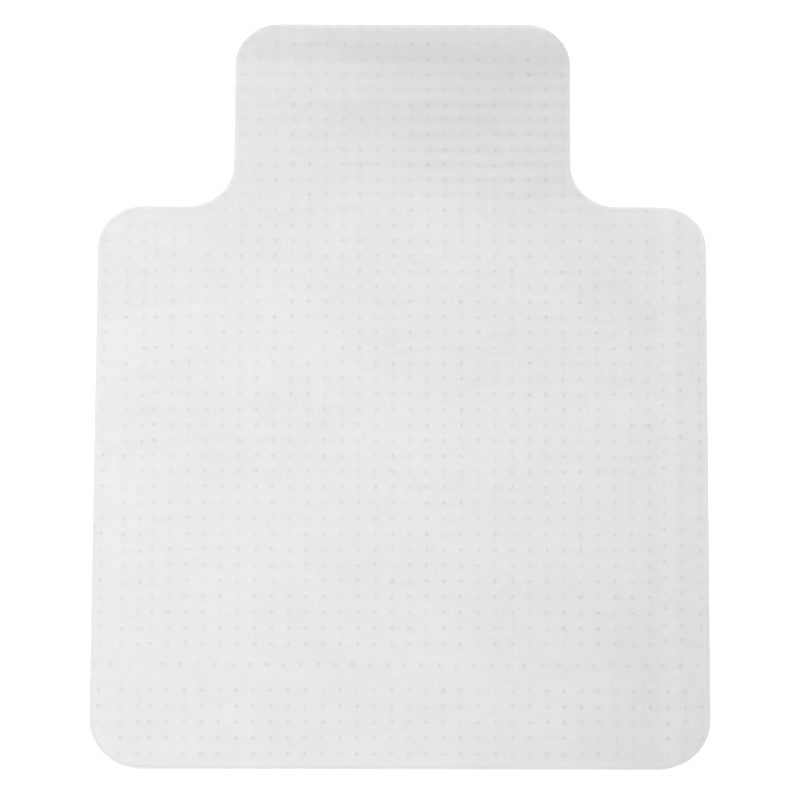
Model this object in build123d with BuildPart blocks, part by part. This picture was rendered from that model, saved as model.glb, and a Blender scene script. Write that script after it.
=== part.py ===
"""Carpet chair mat with a lip: a flat PVC sheet with conical gripper studs moulded under it.

Millimetres. +Z is up, +Y points at the lip, which goes under the desk. The origin is on the floor,
under the middle of the mat, so the stud tips are at Z = 0.
"""

import os

from build123d import *

# Outline of the sheet, seen from above
mat_width = 914.4
mat_length = 1219.2
lip_width = 508.0
lip_length = 304.8
front_corner_radius = 79.0
shoulder_radius = 68.0
neck_radius = 70.0
lip_corner_radius = 68.0

# Section through the sheet: the top edge is bevelled down to a thin rim for the casters
sheet_thickness = 2.3
rim_thickness = 1.2
bevel_width = 5.0

# One gripper stud, a blunt cone that hangs from the sheet's underside
stud_height = 5.0
stud_base_radius = 2.5
stud_tip_radius = 1.2

# The stud pattern comes off an embossing roller, and is one grid across the whole sheet
column_pitch = 25.4
row_pitch = 25.3
front_margin = 24.0
front_row_count = 5

# Where the roller's plate starts again, one row stands apart from the rows on both sides of it
seam_gap_in_front = 41.0
seam_gap_behind = 33.6
seam_row_shift = -6.8

# The second and third columns from each side are on separate rings of the roller
left_ring_columns = (1, 2)
left_ring_shift = (7.6, -2.3)
right_ring_columns = (-3, -2)
right_ring_shift = (-3.0, 7.4)

# A stud whose middle is no further inside the outline than this goes with the scrap
least_cut_stud = 0.5

shoulder_y = mat_length / 2 - lip_length
front_y = -mat_length / 2
lip_end_y = mat_length / 2
half_mat = mat_width / 2
half_lip = lip_width / 2

outline_corners = [
    (-half_mat, front_y),
    (half_mat, front_y),
    (half_mat, shoulder_y),
    (half_lip, shoulder_y),
    (half_lip, lip_end_y),
    (-half_lip, lip_end_y),
    (-half_lip, shoulder_y),
    (-half_mat, shoulder_y),
]
outline_radii = [
    front_corner_radius,
    front_corner_radius,
    shoulder_radius,
    neck_radius,
    lip_corner_radius,
    lip_corner_radius,
    neck_radius,
    shoulder_radius,
]

os.makedirs("parts", exist_ok=True)

# The die-cut outline: panel and lip in one closed line, with every corner rounded
with BuildSketch() as outline:
    with BuildLine():
        FilletPolyline(*outline_corners, radius=outline_radii, close=True)
    make_face()

# The sheet: panel and lip in one piece, lifted off the floor by the studs
with BuildPart() as mat_sheet:
    with BuildSketch(Plane.XY.offset(stud_height)):
        add(outline.sketch)
    extrude(amount=sheet_thickness)
    top_face = mat_sheet.faces().sort_by(Axis.Z)[-1]
    chamfer(
        top_face.edges(),
        length=bevel_width,
        length2=sheet_thickness - rim_thickness,
        reference=top_face,
    )

mat_sheet.part.label = "mat_sheet"
export_step(mat_sheet.part, "parts/mat_sheet.step")

outline_face = outline.sketch.face()
outline_wire = outline_face.outer_wire()


def distance_inside(x, y):
    """How far a point is inside the outline, or minus how far it is outside."""
    distance = outline_wire.distance_to(Vector(x, y))
    return distance if outline_face.is_inside(Vector(x, y)) else -distance


def distance_between(place, point):
    """Distance in plan between a stud's middle and a point."""
    return (Vector(*place) - Vector(*point)).length


# Rows of the grid, from the front edge to the lip's end, each with the zone that it belongs to
rows = [("front_studs", front_y + front_margin + row * row_pitch) for row in range(front_row_count)]
seam_y = rows[-1][1] + seam_gap_in_front
rows.append(("seam_row_studs", seam_y))
row_y = seam_y + seam_gap_behind
while row_y < lip_end_y:
    rows.append(("panel_studs" if row_y < shoulder_y else "lip_studs", row_y))
    row_y += row_pitch

# Columns of the grid, centred on the mat
column_count = int(mat_width / column_pitch + 0.001)
columns = [(column - (column_count - 1) / 2) * column_pitch for column in range(column_count)]

zones = {
    "front_studs": [],
    "seam_row_studs": [],
    "panel_studs": [],
    "lip_studs": [],
    "left_ring_studs": [],
    "right_ring_studs": [],
    "corner_studs": [],
}

for row_zone, y in rows:
    for number, x in enumerate(columns):
        from_right = number - column_count
        zone = row_zone
        stud_x, stud_y = x, y
        if row_zone == "seam_row_studs":
            stud_x += seam_row_shift
        elif number in left_ring_columns:
            stud_x += left_ring_shift[0]
            if row_zone == "panel_studs":
                zone = "left_ring_studs"
                stud_y += left_ring_shift[1]
        elif from_right in right_ring_columns and row_zone == "panel_studs":
            zone = "right_ring_studs"
            stud_x += right_ring_shift[0]
            stud_y += right_ring_shift[1]
        if distance_inside(stud_x, stud_y) > least_cut_stud:
            zones[zone].append((stud_x, stud_y))

# The whole studs nearest the outline's eight corners are a group of their own: the mat bears on them
whole_studs = [
    (place, zone)
    for zone, places in zones.items()
    for place in places
    if distance_inside(*place) > stud_base_radius
]
for corner in outline_corners:
    nearest, its_zone = min(whole_studs, key=lambda stud: distance_between(stud[0], corner))
    zones[its_zone].remove(nearest)
    zones["corner_studs"].append(nearest)


# The studs, one group of separate cones for each zone of the roller, from their tips on the floor up
# to the sheet. The die cuts the sheet and its studs in one stroke, so a stud on the outline loses a side.
for zone, places in zones.items():
    with BuildPart() as stud_group:
        with Locations(*places):
            Cone(
                bottom_radius=stud_tip_radius,
                top_radius=stud_base_radius,
                height=stud_height,
                align=(Align.CENTER, Align.CENTER, Align.MIN),
            )
        with BuildSketch():
            add(outline.sketch)
        extrude(amount=stud_height, both=True, mode=Mode.INTERSECT)
    stud_group.part.label = zone
    export_step(stud_group.part, f"parts/{zone}.step")
    print(zone, len(places), "studs")
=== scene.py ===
import math

import bmesh
import bpy
import numpy as np
from mathutils import Matrix, Vector
from mathutils.bvhtree import BVHTree
from mathutils.kdtree import KDTree


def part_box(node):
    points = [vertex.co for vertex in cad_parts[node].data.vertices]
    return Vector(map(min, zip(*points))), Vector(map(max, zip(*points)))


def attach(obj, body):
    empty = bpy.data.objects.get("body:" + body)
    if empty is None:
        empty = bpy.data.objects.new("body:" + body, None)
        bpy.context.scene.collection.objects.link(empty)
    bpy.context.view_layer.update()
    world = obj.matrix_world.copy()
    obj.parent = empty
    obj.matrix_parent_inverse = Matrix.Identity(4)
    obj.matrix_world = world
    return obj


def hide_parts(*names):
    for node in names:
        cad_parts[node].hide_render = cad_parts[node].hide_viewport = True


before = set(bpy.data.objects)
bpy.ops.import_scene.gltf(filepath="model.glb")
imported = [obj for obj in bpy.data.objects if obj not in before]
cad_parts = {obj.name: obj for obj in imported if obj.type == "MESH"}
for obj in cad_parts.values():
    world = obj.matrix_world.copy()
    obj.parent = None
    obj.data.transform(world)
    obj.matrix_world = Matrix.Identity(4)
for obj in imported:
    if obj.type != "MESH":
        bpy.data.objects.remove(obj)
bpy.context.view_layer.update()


# ---------------------------------------------------------------------------------------------
# The sheet. Panel and lip are one piece of PVC, calendered a little over 2 mm thick, frosted on
# top, die-cut to its outline and bevelled for the casters. Nothing is fastened to it. It was
# packed rolled up, so it still lies in very low waves.
# ---------------------------------------------------------------------------------------------

sheet_low, sheet_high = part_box("mat_sheet")
underside = sheet_low.z
lip_width = 0.508
lip_length = 0.3048
front_corner_radius = 0.079
shoulder_radius = 0.068
neck_radius = 0.070
lip_corner_radius = 0.068
rim_thickness = 0.0012
rim_rounding = 0.0005
bevel_width = 0.005
shoulder_y = sheet_high.y - lip_length
half_lip = lip_width / 2

# Over each stud the sheet is left a touch thicker, which shows on top as a very low, round swelling
stud_base_radius = 0.0025
swelling_radius = 0.0042
swelling_steps = ((0.0003, 0), (0.0006, 0.00003), (0.0007, 0.00008), (0.0005, 0.00004))


def lift_off_floor(x, y):
    """How far the resting mat stands off the floor at a place on it, in metres, never below 0.

    The roll-set leaves waves that run across the mat. They are strongest in the narrow lip, whose
    end curls up a little, and fade out in the heavy panel.
    """
    along_lip = np.clip((y - shoulder_y + 0.10) / (lip_length + 0.10), 0, 1)
    waves = 0.0006 * (1 + np.sin(y * 62 + 0.8 * np.sin(x * 5)))
    ripple = 0.00025 * (1 + np.sin(y * 141 + x * 3))
    curl = 0.0022 * np.clip((y - sheet_high.y + 0.09) / 0.09, 0, 1) ** 2
    lip = along_lip**1.5 * (waves + ripple) + curl
    panel = 0.00022 * (1 + np.sin(y * 21 + x * 4)) + 0.00012 * (1 + np.sin(x * 33 - y * 9))
    return lip + panel


def stud_boxes(node):
    """The lowest and highest corners in plan of each stud of a CAD group, as rows of an array."""
    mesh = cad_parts[node].data
    points = np.empty(len(mesh.vertices) * 3)
    mesh.vertices.foreach_get("co", points)
    points = points.reshape(-1, 3)[:, :2]

    def runs(values):
        order = np.argsort(values)
        breaks = np.nonzero(np.diff(values[order]) > stud_base_radius)[0] + 1
        return np.split(order, breaks)

    boxes = []
    for row in runs(points[:, 1]):
        for stud in runs(points[row, 0]):
            own = points[row][stud]
            boxes.append((own.min(0), own.max(0)))
    return np.array(boxes)


def stud_centres(node):
    """The axis of each stud of a CAD group in plan, and whether the die has left that stud whole.

    A stud that the die has cut has lost part of the side that faces out of the mat.
    """
    boxes = stud_boxes(node)
    low, high = boxes[:, 0], boxes[:, 1]
    whole = (high - low > 2 * stud_base_radius - 0.00005).all(1)
    middle = (low + high) / 2
    outward = np.sign(middle)
    outward[:, 1] = np.where(middle[:, 1] < 0, -1, 1)
    kept_side = np.where(outward > 0, low + stud_base_radius, high - stud_base_radius)
    return np.where(whole[:, None], middle, kept_side), whole


def pick(piece, kind, wanted):
    """In edit mode, selects only the vertices, edges or faces whose middle passes a test."""
    bpy.ops.mesh.select_mode(type=kind)
    bpy.ops.mesh.select_all(action="DESELECT")
    mesh = bmesh.from_edit_mesh(piece.data)
    if kind == "VERT":
        for vertex in mesh.verts:
            vertex.select_set(wanted(vertex.co))
    elif kind == "EDGE":
        for edge in mesh.edges:
            edge.select_set(wanted((edge.verts[0].co + edge.verts[1].co) / 2))
    else:
        for face in mesh.faces:
            face.select_set(wanted(face.calc_center_bounds()))
    bmesh.update_edit_mesh(piece.data)


# The panel's blank, then the lip drawn out of the middle of its back edge
bpy.ops.object.select_all(action="DESELECT")
bpy.ops.mesh.primitive_plane_add(size=1, location=(0, (sheet_low.y + shoulder_y) / 2, underside))
sheet = bpy.context.object
sheet.name = "frosted_sheet"
sheet.scale = (sheet_high.x - sheet_low.x, shoulder_y - sheet_low.y, 1)
bpy.ops.object.transform_apply(location=True, rotation=True, scale=True)
bpy.ops.object.mode_set(mode="EDIT")
for side in (-1, 1):
    bpy.ops.mesh.select_all(action="SELECT")
    bpy.ops.mesh.bisect(plane_co=(side * half_lip, 0, 0), plane_no=(1, 0, 0))
pick(sheet, "EDGE", lambda middle: abs(middle.x) < 0.01 and middle.y > shoulder_y - 0.001)
bpy.ops.mesh.extrude_region_move(TRANSFORM_OT_translate={"value": (0, lip_length, 0)})
bpy.ops.mesh.select_all(action="SELECT")
bpy.ops.mesh.dissolve_limited(angle_limit=math.radians(1))


def round_corners(radius, segments, is_corner):
    """Rounds the picked corners of the flat blank to an arc."""
    pick(sheet, "VERT", is_corner)
    bpy.ops.mesh.bevel(offset=radius, segments=segments, affect="VERTICES")


def at_shoulder(place, x):
    return abs(place.y - shoulder_y) < 0.001 and abs(abs(place.x) - x) < 0.001


round_corners(front_corner_radius, 20, lambda place: place.y < sheet_low.y + 0.001)
round_corners(lip_corner_radius, 18, lambda place: place.y > sheet_high.y - 0.001)
round_corners(neck_radius, 18, lambda place: at_shoulder(place, half_lip))
round_corners(shoulder_radius, 18, lambda place: at_shoulder(place, sheet_high.x))

# The rim's wall, the top drawn in and up to make the bevel, and the edge between them rounded over
bpy.ops.mesh.select_mode(type="FACE")
bpy.ops.mesh.select_all(action="SELECT")
bpy.ops.mesh.extrude_region_move(TRANSFORM_OT_translate={"value": (0, 0, rim_thickness)})
bpy.ops.mesh.inset(thickness=bevel_width)
bpy.ops.transform.translate(value=(0, 0, sheet_high.z - underside - rim_thickness))
pick(sheet, "EDGE", lambda middle: abs(middle.z - underside - rim_thickness) < 0.00001)
bpy.ops.mesh.bevel(offset=rim_rounding, segments=3, affect="EDGES")

# Cut both ways along the stud rows and columns and midway between them, so that the sheet can
# follow its waves, and each stud has its own cell
stud_groups = sorted(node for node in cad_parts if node.endswith("_studs"))
studs = {node: stud_centres(node) for node in stud_groups}
whole_studs = {node: middles[whole] for node, (middles, whole) in studs.items()}
grid_groups = [node for node in stud_groups if "ring" not in node and "corner" not in node]
row_ys = np.unique(np.concatenate([whole_studs[node][:, 1] for node in grid_groups]).round(4))
column_xs = np.unique(whole_studs["panel_studs"][:, 0].round(4))
row_pitch = np.median(np.diff(row_ys))
column_pitch = np.median(np.diff(column_xs))
column_count = round((sheet_high.x - sheet_low.x) / column_pitch)
column_xs = (np.arange(column_count) - (column_count - 1) / 2) * column_pitch


def lines_through(middles, low, high):
    """The stud lines, the lines midway between them, and two more that fill the first and last gap."""
    between = (middles[1:] + middles[:-1]) / 2
    lines = np.sort(np.concatenate([middles, between]))
    ends = [(low + lines[0]) / 2, (high + lines[-1]) / 2]
    return [*lines, *(end for end in ends if min(end - low, high - end) > 2 * bevel_width)]


for axis, lines in (
    (0, lines_through(column_xs, sheet_low.x, sheet_high.x)),
    (1, lines_through(row_ys, sheet_low.y, sheet_high.y)),
):
    for line in lines:
        place = [0, 0, 0]
        normal = [0, 0, 0]
        place[axis] = line
        normal[axis] = 1
        bpy.ops.mesh.select_all(action="SELECT")
        bpy.ops.mesh.bisect(plane_co=place, plane_no=normal)
bpy.ops.mesh.select_all(action="SELECT")
bpy.ops.mesh.remove_doubles(threshold=0.0002)

# The swellings: the four faces that meet near a stud become one, a fan is drawn in it to the
# stud's axis, and the fan's middle is cut round, set in and raised in a few steps
flat_top = sheet_high.z - 0.0001
mesh = bmesh.from_edit_mesh(sheet.data)
surface = BVHTree.FromBMesh(mesh)
mesh.verts.ensure_lookup_table()
corners = KDTree(len(mesh.verts))
for number, vertex in enumerate(mesh.verts):
    corners.insert(vertex.co, number)
corners.balance()


def on_flat_top(x, y):
    place = surface.ray_cast((x, y, 1), (0, 0, -1))[0]
    return place is not None and place.z > flat_top


swollen_studs = []
bpy.ops.mesh.select_mode(type="VERT")
bpy.ops.mesh.select_all(action="DESELECT")
around = [math.radians(angle) for angle in range(0, 360, 45)]
reach = swelling_radius + 0.0006
for x, y in np.concatenate(list(whole_studs.values())):
    if all(on_flat_top(x + reach * math.cos(turn), y + reach * math.sin(turn)) for turn in around):
        crossing_x = column_xs[np.abs(column_xs - x).argmin()]
        crossing_y = row_ys[np.abs(row_ys - y).argmin()]
        corner = mesh.verts[corners.find((crossing_x, crossing_y, sheet_high.z))[1]]
        if [len(face.verts) for face in corner.link_faces] == [4, 4, 4, 4]:
            corner.select_set(True)
            swollen_studs.append((x, y))
bmesh.update_edit_mesh(sheet.data)
bpy.ops.mesh.dissolve_verts()

bpy.ops.mesh.select_mode(type="FACE")
bpy.ops.mesh.select_all(action="DESELECT")
mesh = bmesh.from_edit_mesh(sheet.data)
mesh.faces.index_update()
mesh.faces.ensure_lookup_table()
surface = BVHTree.FromBMesh(mesh)
for x, y in swollen_studs:
    mesh.faces[surface.ray_cast((x, y, 1), (0, 0, -1))[2]].select_set(True)
bmesh.update_edit_mesh(sheet.data)
before_fans = set(mesh.verts)
bpy.ops.mesh.poke()

axes = KDTree(len(swollen_studs))
for number, (x, y) in enumerate(swollen_studs):
    axes.insert((x, y, sheet_high.z), number)
axes.balance()
bpy.ops.mesh.select_mode(type="VERT")
bpy.ops.mesh.select_all(action="DESELECT")
mesh = bmesh.from_edit_mesh(sheet.data)
for vertex in mesh.verts:
    if vertex not in before_fans:
        vertex.co = axes.find(vertex.co)[0]
        vertex.select_set(True)
bmesh.update_edit_mesh(sheet.data)
bpy.ops.mesh.bevel(offset=swelling_radius, affect="VERTICES")
pick(
    sheet,
    "FACE",
    lambda middle: middle.z > flat_top and axes.find(middle)[2] < stud_base_radius / 2,
)
for width, rise in swelling_steps:
    bpy.ops.mesh.inset(thickness=width, depth=rise, use_individual=True)
bpy.ops.object.mode_set(mode="OBJECT")
bpy.ops.object.shade_smooth_by_angle(angle=math.radians(8))

# The faces of the die's cut, before the sheet is laid down: they say how a stud on the edge is cut
cut_faces = BVHTree.FromPolygons(
    [vertex.co for vertex in sheet.data.vertices],
    [face.vertices for face in sheet.data.polygons if abs(face.normal.z) < 0.1],
)


def lay_on_floor(piece):
    """Moves each point of a flat piece up to where the resting mat has it."""
    points = np.empty(len(piece.data.vertices) * 3)
    piece.data.vertices.foreach_get("co", points)
    points = points.reshape(-1, 3)
    points[:, 2] += lift_off_floor(points[:, 0], points[:, 1])
    piece.data.vertices.foreach_set("co", points.ravel())
    piece.data.update()


lay_on_floor(sheet)


class Tap:
    """A socket of a material's node tree, on which shader maths reads as plain sums."""

    def __init__(self, tree, socket=None):
        self.tree = tree
        self.socket = socket

    def node(self, kind, settings=None, inputs=None, output=0):
        """Adds a node with its settings first, then its inputs, and gives one of its outputs."""
        made = self.tree.nodes.new(kind)
        for name, value in (settings or {}).items():
            if name == "stops":
                ramp = made.color_ramp
                while len(ramp.elements) < len(value):
                    ramp.elements.new(0.5)
                for element, (position, grey) in zip(ramp.elements, value):
                    element.position = position
                    element.color = (grey, grey, grey, 1)
            else:
                setattr(made, name, value)
        for name, value in (inputs or {}).items():
            if isinstance(value, Tap):
                self.tree.links.new(value.socket, made.inputs[name])
            else:
                made.inputs[name].default_value = value
        return Tap(self.tree, made.outputs[output] if made.outputs else None)

    def maths(self, operation, *values):
        return self.node("ShaderNodeMath", {"operation": operation}, dict(enumerate(values)))

    def smoothstep(self, start, end):
        """0 below the start, 1 above the end, and a smooth rise between them."""
        settings = {"interpolation_type": "SMOOTHSTEP"}
        inputs = {"Value": self, "From Min": start, "From Max": end}
        return self.node("ShaderNodeMapRange", settings, inputs)

    def __add__(self, other):
        return self.maths("ADD", self, other)

    def __radd__(self, other):
        return self.maths("ADD", other, self)

    def __sub__(self, other):
        return self.maths("SUBTRACT", self, other)

    def __rsub__(self, other):
        return self.maths("SUBTRACT", other, self)

    def __mul__(self, other):
        return self.maths("MULTIPLY", self, other)

    def __rmul__(self, other):
        return self.maths("MULTIPLY", other, self)

    def __truediv__(self, other):
        return self.maths("DIVIDE", self, other)


def start_material(name):
    """An empty material, and a tap on its tree."""
    material = bpy.data.materials.new(name)
    material.use_nodes = True
    material.node_tree.nodes.clear()
    return material, Tap(material.node_tree)


def close_material(tap, surface):
    """Joins a shader to the material's output."""
    tap.node("ShaderNodeOutputMaterial", {}, {"Surface": surface})


def noise(tap, place, scale, detail=2.0):
    """A cloud pattern from 0 to 1, with its grain at about 1/scale metres."""
    return tap.node("ShaderNodeTexNoise", {}, {"Vector": place, "Scale": scale, "Detail": detail})


def shade(tap, amount, dark, light):
    """A neutral colour between two greys, by an amount from 0 to 1."""
    return tap.node(
        "ShaderNodeMix",
        {"data_type": "RGBA"},
        {0: amount, 6: (dark, dark, dark, 1), 7: (light, light, light, 1)},
        2,
    )


def frosted_face(name, dark, light, clear, opaque):
    """PVC with a haze right through it, and the fine frosted grain that the calender leaves.

    Painted shade greys the sheet in the lip, in bands along the lip's stud rows, towards the lip's end
    and at the front on the right, and more so to the right. The haze is a little thicker in one narrow
    strip near the right edge.
    """
    material, tap = start_material(name)
    place = tap.node("ShaderNodeTexCoord", {}, {}, 3)
    stretched = tap.node("ShaderNodeVectorMath", {"operation": "MULTIPLY"}, {0: place, 1: (0.15, 1, 1)})
    haze = noise(tap, place, 5.0, 3.0)
    streaks = noise(tap, stretched, 90.0, 2.0)
    cloud = noise(tap, place, 160.0, 3.0)
    grain = noise(tap, place, 700.0, 2.0)
    across = tap.node("ShaderNodeSeparateXYZ", {}, {0: place}, 0)
    along = tap.node("ShaderNodeSeparateXYZ", {}, {0: place}, 1)
    right = across.smoothstep(-0.18, 0.12)
    # Painted shade where the lip's end curls up: greyer towards the end, more so on the right
    end_depth = 0.11
    into_end = tap.maths("MAXIMUM", (along - (sheet_high.y - end_depth)) / end_depth, 0)
    lip_end_shade = into_end * into_end * (0.4 + 0.5 * right)
    # Painted shade in bands across the lip, darkest along its stud rows and stronger to the right, as
    # low ripples would shade
    row_wave = tap.maths("COSINE", (along - row_ys[-1]) * (2 * math.pi / row_pitch))
    in_lip = along.smoothstep(shoulder_y - 0.05, shoulder_y + 0.05)
    stud_row_shade = (0.5 + 0.5 * row_wave) * in_lip * (0.03 + 0.09 * right)
    # Painted shade: the whole lip a little greyer than the panel, more so towards the right
    lip = along.smoothstep(shoulder_y - 0.05, shoulder_y + 0.2) * (0.15 + 0.15 * right)
    pale_strip = across.smoothstep(0.380, 0.390) - across.smoothstep(0.405, 0.415)
    # Painted shade: the front of the sheet greyer on the right, where the light falls off
    front_right_shade = across.smoothstep(0.05, 0.45) * (1 - along.smoothstep(-0.6, -0.1))
    haze_and_shade = 0.4 * haze + 0.25 * streaks + 0.35 * cloud + 0.1 * pale_strip
    # The painted shade is taken off the haze's own random tone here
    haze_and_shade = haze_and_shade - lip - lip_end_shade - stud_row_shade - 0.2 * front_right_shade
    bump = tap.node("ShaderNodeBump", {}, {"Strength": 0.2, "Distance": 0.0001, "Height": grain})
    surface = tap.node(
        "ShaderNodeBsdfPrincipled",
        {},
        {
            "Base Color": shade(tap, haze_and_shade, dark, light),
            "Roughness": 0.28 + 0.12 * cloud,
            "IOR": 1.53,
            "Transmission Weight": clear,
            "Alpha": opaque - 0.06 * cloud,
            "Normal": bump,
        },
    )
    close_material(tap, surface)
    return material


def smooth_face():
    """The underside between the studs, smooth from the embossing roller and almost clear."""
    material, tap = start_material("smooth_face")
    place = tap.node("ShaderNodeTexCoord", {}, {}, 3)
    cloud = noise(tap, place, 40.0, 3.0)
    surface = tap.node(
        "ShaderNodeBsdfPrincipled",
        {},
        {
            "Base Color": shade(tap, cloud, 0.86, 0.92),
            "Roughness": 0.2 + 0.1 * cloud,
            "IOR": 1.53,
            "Transmission Weight": 0.9,
            "Alpha": 0.3 + 0.1 * cloud,
        },
    )
    close_material(tap, surface)
    return material


def cut_rim():
    """The die's cut, with fine marks that run along the edge, painted paler than the top to make up for
    the shade on its upright wall.
    """
    material, tap = start_material("cut_rim")
    place = tap.node("ShaderNodeTexCoord", {}, {}, 3)
    scratches = tap.node("ShaderNodeVectorMath", {"operation": "MULTIPLY"}, {0: place, 1: (1, 1, 12)})
    marks = noise(tap, scratches, 220.0, 2.0)
    surface = tap.node(
        "ShaderNodeBsdfPrincipled",
        {},
        {
            "Base Color": shade(tap, marks, 0.70, 0.82),
            "Roughness": 0.25 + 0.2 * marks,
            "IOR": 1.53,
            "Transmission Weight": 0.3,
        },
    )
    close_material(tap, surface)
    return material


# The finishes by number: top, underside, cut, and the bevel, which is a more opaque copy of the top
# with its colour painted lighter, to make up for the shade that the bevel shows at the front
sheet.data.materials.append(frosted_face("frosted_face", 0.42, 0.62, 0.25, 0.80))
sheet.data.materials.append(smooth_face())
sheet.data.materials.append(cut_rim())
sheet.data.materials.append(frosted_face("lightened_bevel_face", 0.52, 0.71, 0.1, 0.98))
underside_limit, cut_limit, bevel_limit = -0.5, 0.9, 0.985
for face in sheet.data.polygons:
    if face.normal.z < underside_limit:
        face.material_index = 1
    elif face.normal.z < cut_limit:
        face.material_index = 2
    elif face.normal.z < bevel_limit:
        face.material_index = 3
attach(sheet, "root")
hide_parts("mat_sheet")


# ---------------------------------------------------------------------------------------------
# The gripper studs. Blunt PVC cones, moulded with the sheet by the holes of an embossing roller.
# They push through the carpet's pile and hold the mat still. The die cuts the ones on its line.
# ---------------------------------------------------------------------------------------------

stud_tip_radius = 0.0012
stud_sides = 12
tip_rounding = 0.0003
root_flare = 0.0006
root_height = 0.0005

bpy.ops.object.select_all(action="DESELECT")
bpy.ops.mesh.primitive_cone_add(
    vertices=stud_sides,
    radius1=stud_tip_radius,
    radius2=stud_base_radius,
    depth=underside,
    location=(0, 0, underside / 2),
)
one_stud = bpy.context.object
one_stud.name = "one_stud"
bpy.ops.object.transform_apply(location=True, rotation=True, scale=True)
bpy.ops.object.mode_set(mode="EDIT")
pick(one_stud, "FACE", lambda middle: middle.z < 0.0001)
bpy.ops.mesh.bevel(offset=tip_rounding, segments=2, affect="EDGES")
bpy.ops.mesh.select_all(action="SELECT")
bpy.ops.mesh.bisect(plane_co=(0, 0, underside - root_height), plane_no=(0, 0, 1))
pick(one_stud, "VERT", lambda place: place.z > underside - 0.0001)
flared = 1 + root_flare / stud_base_radius
bpy.ops.transform.resize(value=(flared, flared, 1), center_override=(0, 0, underside))
bpy.ops.mesh.select_all(action="SELECT")
bpy.ops.mesh.normals_make_consistent(inside=False)
bpy.ops.object.mode_set(mode="OBJECT")
bpy.ops.object.shade_smooth_by_angle(angle=math.radians(40))


def polished_cone():
    """The same PVC as the sheet, smooth and clear where the roller's polished holes shaped it."""
    material, tap = start_material("polished_cone")
    place = tap.node("ShaderNodeTexCoord", {}, {}, 3)
    cloud = noise(tap, place, 400.0)
    surface = tap.node(
        "ShaderNodeBsdfPrincipled",
        {},
        {
            "Base Color": shade(tap, cloud, 0.84, 0.92),
            "Roughness": 0.12 + 0.1 * cloud,
            "IOR": 1.53,
            "Transmission Weight": 0.6,
            "Alpha": 0.36 + 0.12 * cloud,
        },
    )
    close_material(tap, surface)
    return material


stud_finish = polished_cone()
one_stud.data.materials.append(stud_finish)
for node in stud_groups:
    group_mesh = bmesh.new()
    for (x, y), whole in zip(*studs[node]):
        copy = one_stud.data.copy()
        copy.transform(Matrix.Translation((x, y, lift_off_floor(x, y))))
        group_mesh.from_mesh(copy)
        bpy.data.meshes.remove(copy)
        if not whole:
            group_mesh.verts.ensure_lookup_table()
            own_verts = group_mesh.verts[-len(one_stud.data.vertices) :]
            own = {*own_verts}
            own.update(edge for vertex in own_verts for edge in vertex.link_edges)
            own.update(face for vertex in own_verts for face in vertex.link_faces)
            place, normal, face, distance = cut_faces.find_nearest((x, y, underside))
            cut = bmesh.ops.bisect_plane(
                group_mesh, geom=list(own), plane_co=place, plane_no=normal, clear_outer=True
            )
            rim = [edge for edge in cut["geom_cut"] if isinstance(edge, bmesh.types.BMEdge)]
            bmesh.ops.contextual_create(group_mesh, geom=rim)
    mesh = bpy.data.meshes.new("moulded_" + node)
    group_mesh.to_mesh(mesh)
    group_mesh.free()
    mesh.materials.append(stud_finish)
    group = bpy.data.objects.new("moulded_" + node, mesh)
    bpy.context.collection.objects.link(group)
    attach(group, "root")
    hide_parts(node)
bpy.data.objects.remove(one_stud)


# ---------------------------------------------------------------------------------------------
# The studio. A plain white floor that glows a little, so that no dark line shows round the mat,
# an even sky, and one large round softbox above the mat on its left.
# ---------------------------------------------------------------------------------------------

bpy.ops.object.select_all(action="DESELECT")
bpy.ops.mesh.primitive_plane_add(size=30, location=(0, 0, 0))
floor = bpy.context.object
floor.name = "studio_floor"
floor_material, tap = start_material("studio_floor")
close_material(
    tap,
    tap.node(
        "ShaderNodeBsdfPrincipled",
        {},
        {
            "Base Color": (0.9, 0.9, 0.9, 1),
            "Roughness": 0.9,
            "Emission Color": (1, 1, 1, 1),
            "Emission Strength": 0.4,
        },
    ),
)
floor.data.materials.append(floor_material)

world = bpy.data.worlds.new("studio")
bpy.context.scene.world = world
world.use_nodes = True
world.node_tree.nodes.clear()
tap = Tap(world.node_tree)
direction = tap.node("ShaderNodeTexCoord", {}, {}, 0)
height = tap.node("ShaderNodeSeparateXYZ", {}, {0: direction}, 2)
dome = tap.node("ShaderNodeValToRGB", {"stops": ((0, 0.7), (1, 1.0))}, {0: height})
tap.node(
    "ShaderNodeOutputWorld",
    {},
    {"Surface": tap.node("ShaderNodeBackground", {}, {"Color": dome, "Strength": 1.0})},
)

bpy.ops.object.light_add(type="AREA", location=(-0.8, 0.8, 3.2))
softbox = bpy.context.object
softbox.data.shape = "DISK"
softbox.data.size = 2.2
softbox.data.energy = 51

# The camera looks down on the mat from the front edge's side, from far off with a long lens
camera_elevation = math.radians(65.658)
camera_azimuth = math.radians(-0.508)
camera_roll = math.radians(-0.3065)
camera_distance = 15.03
aim_right = -0.0018
aim_up = -0.01105
camera_data = bpy.data.cameras.new("camera")
camera = bpy.data.objects.new("camera", camera_data)
bpy.context.collection.objects.link(camera)
camera_data.lens = 452.9
camera_data.sensor_width = 36
camera_data.clip_start = 1
camera_data.clip_end = 60
back = Vector(
    (
        -math.sin(camera_azimuth) * math.cos(camera_elevation),
        -math.cos(camera_azimuth) * math.cos(camera_elevation),
        math.sin(camera_elevation),
    )
)
turn = back.to_track_quat("Z", "Y").to_matrix().to_4x4() @ Matrix.Rotation(camera_roll, 4, "Z")
aim = turn.to_3x3() @ Vector((aim_right, aim_up, 0))
camera.matrix_world = Matrix.Translation(back * camera_distance + aim) @ turn
bpy.context.scene.camera = camera
bpy.context.scene.view_settings.view_transform = "Standard"
